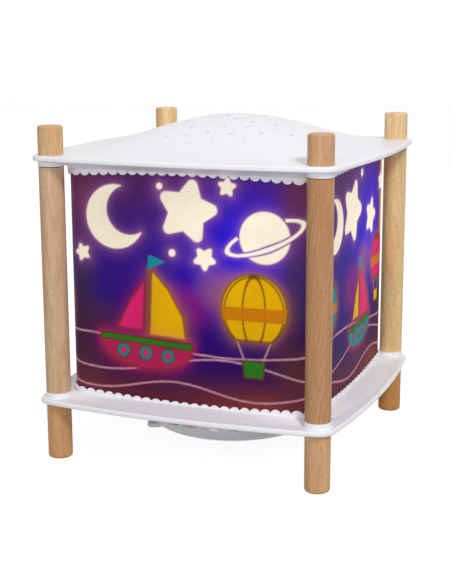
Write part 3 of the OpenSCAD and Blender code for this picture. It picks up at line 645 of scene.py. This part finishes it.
GHOSTS = (  # place, height, radius, colour of the drum's shapes that shine through dimly
    (22, 104, 10, ORANGE),
    (-2, 92, 12, ROSE),
    (-50, 84, 9, BROWN),
    (62, 66, 10, BROWN),
)
SKY = (  # the side, place from its middle, height, shape
    (0, -41, 141, moon(17.5, 14.0, 8.5, 4.0)),
    (0, 2, 146, star(17.5, 3.2, 0.22)),
    (0, 46, 134, planet(14.0)),
    (0, 12, 121, star(6.6, 1.3, 0.6)),
    (0, -14, 159, circle(1.8)),
    (0, 25, 160, star(5.2, 1.0, 0.1)),
    (0, -7, 123, circle(2.0)),
    (0, -62, 120, star(5.0, 1.0, 0.9)),
    (1, -4, 140, star(18, 3.2, 0.35)),
    (1, 36, 132, star(11, 2.2, 0.3)),
    (1, -38, 136, moon(15, 12, -7, 3.5)),
    (1, 14, 160, circle(2.2)),
    (1, 60, 150, star(6, 1.2, 0.1)),
    (2, -40, 140, planet(13)),
    (2, 2, 146, moon(16, 13, 7, 3)),
    (2, 44, 138, star(15, 2.8, -0.3)),
    (2, -14, 122, star(5.5, 1.1, 0.4)),
    (3, -42, 144, star(15, 2.8, 0.2)),
    (3, 2, 136, moon(17, 13.5, 8, 4)),
    (3, 46, 144, planet(12)),
    (3, 26, 124, circle(2.2)),
)


def by_height(z, stops):
    """The colour at each height, blended between the stops."""
    at = [v for v, _ in stops]
    shades = np.array([srgb(*colour) for _, colour in stops])
    return np.stack([np.interp(z, at, shades[:, i]) for i in range(3)], 1)


def night(c, quarter):
    """The bulb's glow behind each side, painted shade at the corners, and a painted warm streak of
    light down the film near one corner.
    """
    dim = by_height(c.z, CORNER)
    for k in range(4):
        d = c.away(k * quarter + GLOW_AT)
        for strength, at, wide, up, tall, colour in GLOWS:
            spread = np.exp(-(((d - at) / wide) ** 2) - ((c.z - up) / tall) ** 2)
            c.lay(strength * spread, srgb(*colour))
        edge = np.abs(c.away(k * quarter + quarter / 2))
        c.lay(0.8 * smooth(edge, 24, 7), dim)
    # a painted warm streak of light down the film near one corner
    d = c.away(1.5 * quarter - 8)
    light_streak = np.exp(-((d / 3.6) ** 2)) * smooth(c.z, 96, 128) * smooth(c.z, 174, 160)
    c.lay(0.95 * light_streak, srgb(240, 176, 66))


def picture(x, z, length):
    """The film's print, lit from behind: night sky, lit shapes, boats and balloons over water."""
    quarter = length / 4
    c = Canvas(x, z, by_height(z, GROUND), length)
    night(c, quarter)
    for k in range(4):
        for gx, gz, gr, colour in GHOSTS:
            spot = circle(gr, 1.3)
            paint_shape(c, k * quarter + gx, gz + 4 * k, spot, colour, edge=7.0, alpha=0.36)
    wave(c, 60, 5.5, length / 4, 0.6)
    wave(c, 47, 3.5, length / 6, 2.0)
    wave(c, 71, 4.0, length / 3, 3.9)
    for side, sx, sz, shape in SKY:
        at = side * quarter + sx
        paint_shape(c, at, sz, shape, CREAM, edge=0.5, halo=MAUVE, halo_r=2.4, reach=45)
    boat(c, -24, 61, 1.05, tilt=-0.05)
    balloon(c, 40, 86, 1.25)
    balloon(c, quarter - 46, 86, 0.9, TEAL, GREEN, PINK)
    boat(c, quarter + 14, 62, 0.85, hull=TEAL, sail=PINK, jib=YELLOW, tilt=0.04)
    balloon(c, quarter + 52, 98, 0.9, PINK, BROWN, YELLOW)
    boat(c, 2 * quarter - 24, 62, 0.95, hull=GREEN, sail=PINK, jib=YELLOW)
    house(c, 2 * quarter + 40, 62)
    balloon(c, 2 * quarter + 16, 104, 0.75)
    boat(c, 3 * quarter + 10, 60, 1.0, sail=TEAL, jib=YELLOW)
    balloon(c, 3 * quarter - 46, 92, 1.0, PINK, BROWN, TEAL)
    balloon(c, 3 * quarter + 56, 86, 0.8)
    weave = np.sin(x * 5.1 + 1.7 * np.sin(z * 0.9)) * np.sin(z * 4.3 + 1.3 * np.sin(x * 0.7))
    along = 0.6 + 0.4 * np.cos(2 * math.pi * (x - 24) / quarter)
    light = 0.80 + 0.22 * np.exp(-(((z - 124) / 44) ** 2)) * along
    return c.rgb * (light * (1 + 0.025 * weave))[:, None]


def drum_picture(x, z, length):
    """The drum's print: plain bands of colour, with stars and discs that pass behind the film."""
    shapes = 8
    c = Canvas(x, z, srgb(66, 34, 150), length)
    up = (z - DRUM_Z0) / (DRUM_Z1 - DRUM_Z0)
    c.lay(smooth(up, 0.35, 0.0), srgb(126, 44, 54))
    c.lay(0.5 * smooth(up, 0.8, 1.0), srgb(120, 50, 110))
    for i in range(shapes):
        colour = (YELLOW, PINK, TEAL, ORANGE, CREAM, GREEN)[i % 6]
        star_at, star_z = length * i / shapes, 74 + 9 * math.sin(2.3 * i)
        disc_at, disc_z = length * (i + 0.5) / shapes, 124 + 12 * math.sin(1.7 * i)
        paint_shape(
            c, star_at, star_z, star(11, 3, 0.4 * i), colour, edge=1.2, halo=ORANGE, halo_r=3
        )
        disc = circle(8 + 2 * math.sin(i))
        paint_shape(c, disc_at, disc_z, disc, (CREAM, LAVENDER)[i % 2], edge=1.5)
    return c.rgb


# ------------------------------------------------------------ film and drum
def print_material(name, strength, back):
    """Printed film lit from behind: it glows in the print's colours, with a faint sheet texture.

    back is the share of the print's colour that plain light brings back from it.
    """
    m = Nodes(name)
    v = m.coords()
    col = m.node("ShaderNodeVertexColor", layer_name="print").outputs["Color"]
    grain = m.noise(v, 1500, 3)
    cloud = m.noise(v, 45, 3)
    uneven = m.ramp(cloud, [(0.25, grey(0.9)), (0.75, grey(1.06))])
    grainy = m.ramp(grain, [(0.3, grey(0.96)), (0.7, grey(1.04))])
    glow = m.mix(1.0, col, uneven, "MULTIPLY")
    glow = m.mix(1.0, glow, grainy, "MULTIPLY")
    m.set(
        Base_Color=m.mix(1.0, col, grey(back), "MULTIPLY"),
        Emission_Color=glow,
        Roughness=m.span(grain, 0.3, 0.7, 0.42, 0.55),
    )
    m.set(Emission_Strength=strength, Specular_IOR_Level=0.03)
    m.bump(grain, 0.00001, 0.3)
    return m.mat


def printed_sheet(name, outer, inner, along, length, paint, material, body, slot, node):
    """A thin closed sheet of two skins, painted by paint(along, height, length).

    outer and inner are (points of the loop, heights), the inner heights downward.
    """
    rows, colours = [], []
    for points, heights in (outer, inner):
        rows += [level(points, z) for z in heights]
        places = np.tile(along, len(heights))
        colours.append(paint(places, np.repeat(heights, len(along)), length))
    verts, faces = swept_ring(rows)
    ob = add_mesh(name, verts, faces, material, body, slot, (node,), SHARP_SHEET)
    attr = ob.data.color_attributes.new("print", "FLOAT_COLOR", "POINT")
    rgba = np.ones((len(verts), 4), np.float32)
    rgba[:, :3] = np.concatenate(colours)
    attr.data.foreach_set("color", rgba.ravel())
    fix_normals(ob)


def film_columns(step):
    """Even columns round the film: loop parameters, places from the front's middle, length."""
    big, t = side_turn(FILM_C, FILM_R, FILM_MID)
    side_l = 2 * t * big
    corner_l = (math.pi / 2 - 2 * t) * FILM_R
    params = even_params(round(side_l / step), round(corner_l / step))
    side, corner, share = params.T
    along = side * (side_l + corner_l) + np.where(corner > 0, side_l, 0)
    along += share * np.where(corner > 0, corner_l, side_l) - side_l / 2
    return params, along, 4 * (side_l + corner_l)


def build_film():
    step = 0.62
    params, along, length = film_columns(step)
    outer, normal = loop_points(FILM_C, FILM_R, FILM_MID, params)
    inner = outer - normal * FILM_T
    heights = np.linspace(FILM_Z0, FILM_Z1, round((FILM_Z1 - FILM_Z0) / step) + 1)
    inner_heights = heights[:: -max(1, len(heights) // 12)]
    if inner_heights[-1] != heights[0]:
        inner_heights = np.append(inner_heights, heights[0])
    skins = (outer, heights), (inner, inner_heights)
    mat = print_material("film print", 0.96, 0.08)
    printed_sheet(
        "picture_film", *skins, along, length, picture, mat, "base", "scene_print", "scene_film"
    )


def build_drum():
    a = np.arange(256) * 2 * math.pi / 256
    ring = np.c_[np.cos(a), np.sin(a)]
    heights = np.linspace(DRUM_Z0, DRUM_Z1, 70)
    skins = (ring * DRUM_R, heights), (ring * (DRUM_R - DRUM_T), heights[::-6])
    length = 2 * math.pi * DRUM_R
    along = a * DRUM_R
    mat = print_material("drum print", 0.8, 0.3)
    printed_sheet(
        "picture_drum", *skins, along, length, drum_picture, mat, "drum", "drum_print", "drum_film"
    )


# ------------------------------------------------------------ lid and base plate
def trim_heights(params, length):
    """Height of the scalloped edge above its root, at each column."""
    _, corner, share = params.T
    line = np.where(corner > 0, length, length - TRIM_ARCH * (1 - (2 * share - 1) ** 2))
    u = (share * np.where(corner > 0, CORNER_LOBES, SIDE_LOBES)) % 1.0
    return line + SCALLOP_DEPTH * (np.sqrt(np.maximum(0, 1 - 0.96 * (2 * u - 1) ** 2)) - 1)


def trim_solid(root_z, way, length, rise):
    """Slope and scalloped trim as one closed band. way is 1 on the base and -1 under the lid."""
    sink, ease = 0.3, 0.18  # how far it stands in its plate, and the rounding of its edge
    params = even_params(SIDE_LOBES * 8, CORNER_LOBES * 8)
    slope_out = loop_points(*SLOPE, params)[0]
    lobes = np.maximum(trim_heights(params, length), rise + VALLEY_CLEAR)
    edge = root_z + way * lobes
    outer, inner = film_loop(TRIM_OUT, params), film_loop(TRIM_IN, params)
    foot = root_z + way * rise
    rows = [
        level(inner, root_z - way * sink),
        level(slope_out, root_z - way * sink),
        level(slope_out, root_z + way * 0.02),
        level(outer + (slope_out - outer) * 0.04, foot - way * 0.02 * rise),
        level(outer, foot + way * 0.15),
        level(outer, edge - way * ease),
        level(film_loop(TRIM_OUT - ease, params), edge),
        level(film_loop(TRIM_IN + ease, params), edge),
        level(inner, edge - way * ease),
    ]
    return swept_ring(rows if way > 0 else rows[::-1])


def round_rim(params, z0, z1):
    """Rings of a plate's rounded rim, from the top skin's border down to the underside's."""
    steps = 5
    points, normal = loop_points(*PLATE, params)
    turns = [math.pi / 2 * i / steps for i in range(steps + 1)]
    top = [
        level(points - normal * TOP_EDGE_R * (1 - math.sin(a)), z1 - TOP_EDGE_R * (1 - math.cos(a)))
        for a in turns
    ]
    low = [
        level(points - normal * LOW_EDGE_R * (1 - math.cos(a)), z0 + LOW_EDGE_R * (1 - math.sin(a)))
        for a in turns
    ]
    return top + low


def collars(z_root, z_free):
    """The four moulded collars round the posts' ends, each with its free edge eased."""
    ease, cut = 0.5, 0.15
    up = 1 if z_free > z_root else -1
    rows = (
        (COLLAR_BORE, z_root),
        (COLLAR_R, z_root),
        (COLLAR_R, z_free - up * ease),
        (COLLAR_R - cut, z_free - up * cut),
        (COLLAR_R - ease, z_free),
        (COLLAR_BORE, z_free),
    )
    a = np.arange(64) * 2 * math.pi / 64
    ring = np.c_[np.cos(a), np.sin(a)]
    places = [(sx * POST_AT, sy * POST_AT) for sx in (-1, 1) for sy in (-1, 1)]
    return [swept_ring([level(ring * r + at, z) for r, z in rows]) for at in places]


def build_tray():
    ease = 0.6  # chamfer of the air opening
    params = even_params(60, 14)
    points, _ = loop_points(*PLATE, params)
    hole = points / np.linalg.norm(points, axis=1)[:, None]
    rows = [level(hole * AIR_HOLE_R, TRAY_TOP - ease), level(hole * (AIR_HOLE_R + ease), TRAY_TOP)]
    rows += round_rim(params, TRAY_Z, TRAY_TOP)
    rows += [level(hole * (AIR_HOLE_R + ease), TRAY_Z), level(hole * AIR_HOLE_R, TRAY_Z + ease)]
    wide = even_params(40, 16)
    rib_out, rib_in = film_loop(RIB_OUT, wide), film_loop(RIB_IN, wide)
    rib = [
        level(rib_in, RIB_Z0),
        level(rib_out, RIB_Z0),
        level(rib_out, RIB_TOP - 0.2),
        level(rib_out * 0.998, RIB_TOP),
        level(rib_in * 1.002, RIB_TOP),
        level(rib_in, RIB_TOP - 0.2),
    ]
    parts = [swept_ring(rows), trim_solid(TRAY_TOP, 1, BASE_TRIM, BASE_RISE), swept_ring(rib)]
    v, f = joined(parts + collars(TRAY_TOP - 0.2, TRAY_TOP + COLLAR_H))
    ob = add_mesh(
        "base_plate", v, f, WHITE, "base", "white_plastic", ("base_tray",), SHARP_PLASTIC
    )
    fix_normals(ob)


def square_radius(x, y):
    """Distance from the middle in rounded squares, which shape the dome like a pillow."""
    return (np.abs(x) ** 4 + np.abs(y) ** 4) ** 0.25


def dome(x, y):
    """Height of the dome above the lid's rim."""
    t = np.minimum(square_radius(x, y) / DOME_SPAN, 1.0)
    return DOME_H * (1 + np.cos(math.pi * t)) / 2


def vent_outlines():
    """Small stars and octagons by turns, scattered over the dome in a spiral."""
    rng = np.random.default_rng(11)
    out = []
    for i in range(1, VENTS + 1):
        r = VENT_SPREAD * math.sqrt(i)
        a = math.radians(GOLDEN_TURN * i)
        x, y = r * math.cos(a), r * math.sin(a)
        turn = rng.uniform(0, 2 * math.pi)
        if i % 2 == 0:
            ring = star_points(STAR_VENT_R, 0.58, turn)
        else:
            turns = [turn + k * math.pi / 4 for k in range(8)]
            ring = [(ROUND_VENT_R * math.cos(t), ROUND_VENT_R * math.sin(t)) for t in turns]
        out.append([(x + px, y + py) for px, py in ring])
    return out


def lid_points(border, vents):
    """Points and fixed edges for the lid's skin: its border, the vents and plain rings between."""
    n = len(border)
    pts = [tuple(p) for p in border]
    edges = [(i, (i + 1) % n) for i in range(n)]
    for hole in vents:
        first = len(pts)
        pts += hole
        edges += [(first + i, first + (i + 1) % len(hole)) for i in range(len(hole))]
    centres = np.array([np.mean(h, 0) for h in vents])
    for k in range(1, LID_RINGS):
        s = 1 - k / LID_RINGS
        thin = max(1, int(1 / max(s, 0.08) * 0.9))  # fewer points on the smaller rings
        ring = border[::thin] * s
        far = np.linalg.norm(ring[:, None] - centres[None], axis=2).min(1)
        pts += [tuple(p) for p, d in zip(ring, far) if d > VENT_CLEAR]
    pts.append((0.0, 0.0))
    return pts, edges


def lid_skin(border, vents):
    """The lid's flat skin with the vents cut out: points, triangles and where each input went."""
    pts, edges = lid_points(border, vents)
    out = delaunay_2d_cdt([Vector(p) for p in pts], edges, [], 0, 1e-6, True)
    xy = np.array([tuple(p) for p in out[0]])
    went = {old: new for new, olds in enumerate(out[3]) for old in olds}
    centres = np.array([np.mean(h, 0) for h in vents])
    reach = np.array([np.hypot(*(np.array(h) - c).T).max() for h, c in zip(vents, centres)])
    tris = []
    for f in out[2]:
        cx, cy = xy[list(f)].mean(0)
        near = np.flatnonzero(np.hypot(centres[:, 0] - cx, centres[:, 1] - cy) < reach + 0.01)
        at = np.array([cx]), np.array([cy])
        if not any(polygon_distance(*at, vents[k])[0] < 0 for k in near):
            tris.append(tuple(f))
    return xy, tris, went


def lid_shell():
    """The domed plate: top and bottom skins, the vents' walls and the rounded rim."""
    rings = round_rim(even_params(60, 14), LID_Z, LID_TOP)
    border = rings[0][:, :2]
    n = len(border)
    vents = vent_outlines()
    xy, tris, went = lid_skin(border, vents)
    m = len(xy)  # the bottom skin's points follow the top's
    z_top = LID_TOP + dome(xy[:, 0], xy[:, 1])
    z_low = np.where(square_radius(xy[:, 0], xy[:, 1]) < HOLLOW_SPAN, z_top - SHELL_T, LID_Z)
    faces = tris + [tuple(m + i for i in f[::-1]) for f in tris]
    start = n
    for hole in vents:
        ids = [went[start + i] for i in range(len(hole))]
        start += len(hole)
        faces += [(a, b, m + b, m + a) for a, b in zip(ids, ids[1:] + ids[:1])]
    rows = rings[1:-1]
    loops = [[went[i] for i in range(n)]]
    loops += [[2 * m + k * n + i for i in range(n)] for k in range(len(rows))]
    loops.append([m + went[i] for i in range(n)])
    for a, b in zip(loops, loops[1:]):
        faces += [(a[i], b[i], b[(i + 1) % n], a[(i + 1) % n]) for i in range(n)]
    return np.concatenate([np.c_[xy, z_top], np.c_[xy, z_low], *rows]), faces


def build_lid():
    parts = [lid_shell(), trim_solid(LID_Z, -1, LID_TRIM, LID_RISE)]
    v, f = joined(parts + collars(LID_Z + 0.2, LID_Z - COLLAR_H))
    ob = add_mesh("lid_shell", v, f, WHITE, "lid", "white_plastic", ("top_cover",), SHARP_PLASTIC)
    fix_normals(ob)


build_film()
build_drum()
build_tray()
build_lid()

# ------------------------------------------------------------ finish of the CAD nodes that stay
SLOT_OF = {p["node"]: p["material_slot"] for p in frame["record"]["subparts"]}
FIGURE, BOLD_FIGURE = 0.34, 0.62  # strength of the growth rings, and on the front right post
BEECH_WITH_PAINTED_LIGHT = {  # each piece of beech has its own shade, partly its own tone and partly painted light and shade, set so that each piece shows as bright as it should in this lighting
    "foot_front_left": (212, 161, 107),
    "foot_front_right": (214, 170, 122),
    "foot_back_left": (210, 156, 106),
    "foot_back_right": (202, 143, 76),
    "post_front_left": (214, 178, 142),
    "post_front_right": (191, 145, 101),
    "post_back_left": (206, 154, 108),
    "post_back_right": (232, 199, 145),
    "knob_front_left": (216, 176, 127),
    "knob_front_right": (206, 163, 120),
    "knob_back_left": (237, 204, 151),
    "knob_back_right": (237, 205, 156),
}
for seed, (name, shade) in enumerate(BEECH_WITH_PAINTED_LIGHT.items(), 1):
    _, side_y, side_x = name.split("_")
    place = (POST_AT * (1 if side_x == "right" else -1), POST_AT * (1 if side_y == "back" else -1))
    figure = BOLD_FIGURE if name == "post_front_right" else FIGURE
    FINISH[name] = beech(f"beech {name}", place, seed, shade, figure)
for name, ob in frame["nodes"].items():
    finish = FINISH.get(name) or FINISH.get(SLOT_OF.get(name))
    if finish is not None:
        ob.data.materials.clear()
        ob.data.materials.append(finish)

# ------------------------------------------------------------ stage, lights and camera, in metres
FLOOR_HALF, FLOOR_Z = 3.0, -0.0001
FLOOR_GLOW = 0.90  # the floor's own white, as the camera sees it
FLOOR_SEEN = 0.28  # the share on top of it that takes shadow
FLOOR_BOUNCE = 0.5  # how much plain light the floor throws back on the object
ROOM_LIGHT = (0.31, 0.31, 0.32)
COOL = (0.94, 0.95, 1.0)
LAMP_AIM = (0, 0, 0.1)
CAMERA_AZ, CAMERA_EL, CAMERA_ROLL = 21.61, 12.24, -0.235  # degrees
CAMERA_FAR, CAMERA_AIM = 0.7432, (-0.005, 0.0, 0.0865)
SENSOR, FOCAL_PX, LONG_SIDE_PX = 36.0, 1238.5, 584.0  # the lens follows from the last two


def stage_material(name):
    """Pale floor. The camera, glass and metal see it white with a light shadow.

    On the object it throws plain light back. From below, the camera sees through it.
    """
    m = Nodes(name)
    path = m.node("ShaderNodeLightPath")
    seen = m.math("MAXIMUM", path.outputs["Is Camera Ray"], path.outputs["Is Glossy Ray"])
    seen = m.math("MAXIMUM", seen, path.outputs["Is Transmission Ray"])
    m.set(Base_Color=m.mix(seen, grey(FLOOR_BOUNCE), grey(FLOOR_SEEN)), Roughness=0.9)
    m.set(Emission_Color=m.mix(seen, grey(0.0), grey(FLOOR_GLOW)))
    m.set(Emission_Strength=1.0, Specular_IOR_Level=0.0)
    back = m.node("ShaderNodeNewGeometry").outputs["Backfacing"]
    below = m.math("MULTIPLY", back, path.outputs["Is Camera Ray"])
    pick = m.node("ShaderNodeMixShader")
    m.link(below, pick.inputs[0])
    m.link(m.bsdf.outputs[0], pick.inputs[1])
    m.link(m.node("ShaderNodeBsdfTransparent").outputs[0], pick.inputs[2])
    m.link(pick.outputs[0], m.out.inputs["Surface"])
    return m.mat


def build_floor():
    me = bpy.data.meshes.new("floor")
    s = FLOOR_HALF
    corners = [(x, y, FLOOR_Z) for x, y in ((-s, -s), (s, -s), (s, s), (-s, s))]
    me.from_pydata(corners, [], [(0, 1, 2, 3)])
    floor = bpy.data.objects.new("floor", me)
    bpy.context.scene.collection.objects.link(floor)
    floor.data.materials.append(stage_material("floor paint"))


def build_world():
    """White to the camera and in mirrors, and a dim grey room to everything else."""
    world = bpy.data.worlds.new("studio")
    world.use_nodes = True
    bpy.context.scene.world = world
    nt = world.node_tree
    bg = next(n for n in nt.nodes if n.type == "BACKGROUND")
    path = nt.nodes.new("ShaderNodeLightPath")
    seen = nt.nodes.new("ShaderNodeMath")
    seen.operation = "MAXIMUM"
    nt.links.new(path.outputs["Is Camera Ray"], seen.inputs[0])
    nt.links.new(path.outputs["Is Glossy Ray"], seen.inputs[1])
    mix = nt.nodes.new("ShaderNodeMix")
    mix.data_type = "RGBA"
    mix.inputs[6].default_value = (*ROOM_LIGHT, 1)
    mix.inputs[7].default_value = (1, 1, 1, 1)
    nt.links.new(seen.outputs[0], mix.inputs[0])
    nt.links.new(mix.outputs[2], bg.inputs["Color"])


def add_light(name, kind, place, power, colour):
    data = bpy.data.lights.new(name, kind)
    data.energy = power
    data.color = colour
    ob = bpy.data.objects.new(name, data)
    bpy.context.scene.collection.objects.link(ob)
    ob.location = place
    return ob


def lamp(name, place, size, power, colour=(1, 1, 1)):
    """A disc lamp that points at the middle of the lantern."""
    ob = add_light(name, "AREA", place, power, colour)
    ob.data.shape = "DISK"
    ob.data.size = size
    ob.rotation_euler = (Vector(LAMP_AIM) - Vector(place)).to_track_quat("-Z", "Y").to_euler()


def cup_glow():
    """The bulb's light that spills past the heat shield into the cup and shows in its slots."""
    ob = add_light("cup glow", "POINT", (0, -0.025, 0.024), 0.0035, (1.0, 0.96, 0.93))
    ob.data.shadow_soft_size = 0.004


def build_camera():
    """The camera that was fitted to the photo's edges."""
    az, el, roll = (math.radians(v) for v in (CAMERA_AZ, CAMERA_EL, CAMERA_ROLL))
    cam = bpy.data.cameras.new("camera")
    cam.sensor_fit = "AUTO"
    cam.sensor_width = SENSOR
    cam.lens = FOCAL_PX * SENSOR / LONG_SIDE_PX
    cam.clip_start, cam.clip_end = 0.02, 20
    ob = bpy.data.objects.new("camera", cam)
    bpy.context.scene.collection.objects.link(ob)
    target = Vector(CAMERA_AIM)
    out = Vector((math.sin(az) * math.cos(el), -math.cos(az) * math.cos(el), math.sin(el)))
    ob.location = target + CAMERA_FAR * out
    look = (target - ob.location).to_track_quat("-Z", "Y").to_matrix()
    ob.rotation_euler = (look @ Matrix.Rotation(roll, 3, "Z")).to_euler()
    bpy.context.scene.camera = ob


build_floor()
build_world()
lamp("key", (0.75, -0.75, 1.05), 0.3, 8.7)
lamp("front", (0.36, -1.2, 0.44), 0.5, 3.4, COOL)
lamp("left", (-0.9, -0.95, 0.42), 0.8, 0.9, COOL)
lamp("top", (0, 0.2, 1.5), 1.2, 3.4)
lamp("back", (1.0, 1.05, 0.4), 0.8, 1.3)
cup_glow()
build_camera()
bpy.context.scene.view_settings.view_transform = "Standard"
